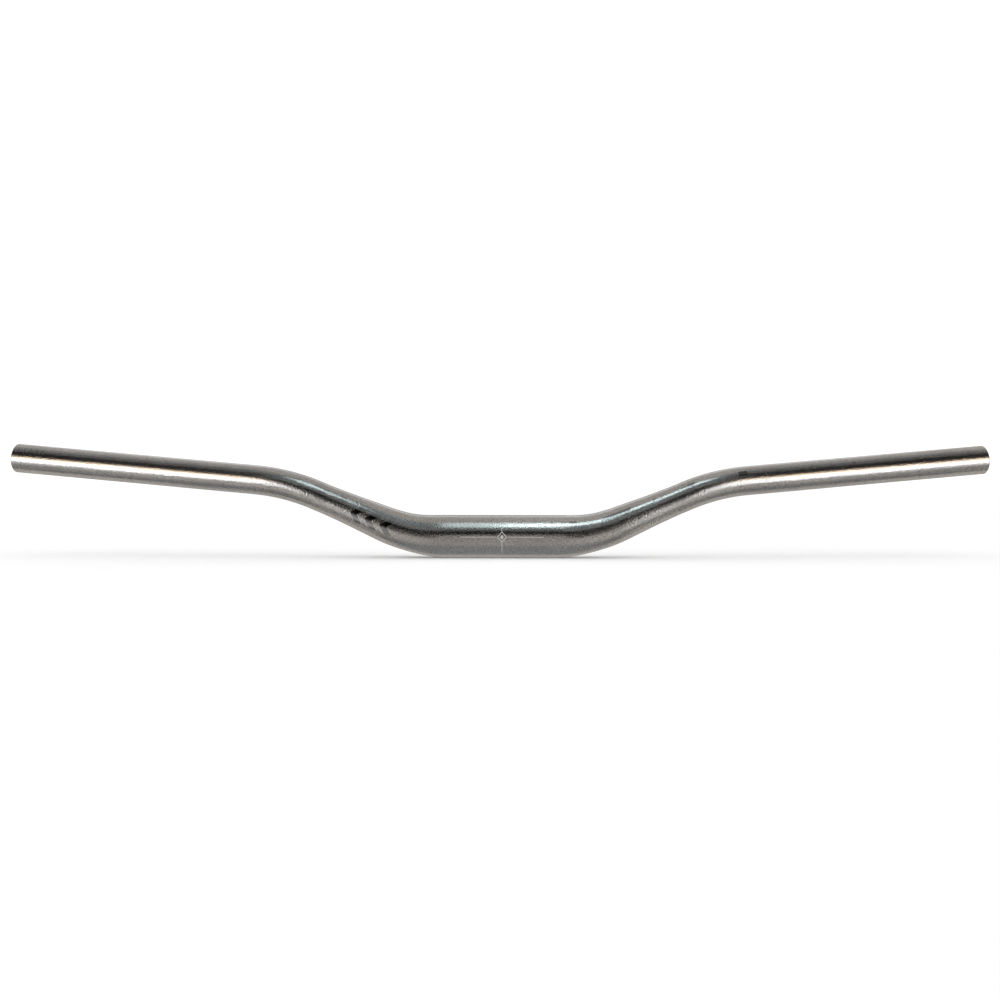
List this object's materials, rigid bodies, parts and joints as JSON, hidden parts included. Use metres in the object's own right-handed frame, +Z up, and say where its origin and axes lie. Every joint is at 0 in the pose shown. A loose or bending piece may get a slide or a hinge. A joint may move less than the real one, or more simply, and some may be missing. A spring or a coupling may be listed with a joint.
{
  "type": "handlebar",
  "caption": "Bare riser handlebar: a bent, butted and tapered aluminium tube with a thick clamp zone, raised swept-back grip zones and open ends.",
  "frame": {"origin": "on the tube's axis, at the middle of the stem clamp zone", "axes": "+X along the bar's width, -Y towards the front wheel, +Y towards the rider, +Z up, the way the bar rises"},
  "size_m": [0.7598, 0.0665, 0.0858],
  "materials": {
    "blasted_aluminium": "bead-blasted and clear anodised, satin",
    "mirror_film": "thin dark metallised transfer film, mirror gloss"
  },
  "bodies": {
    "root": {"handlebar_tube": "blasted_aluminium", "left_bend_chevrons": "mirror_film", "right_bend_stripe": "mirror_film"}
  },
  "joints": []
}
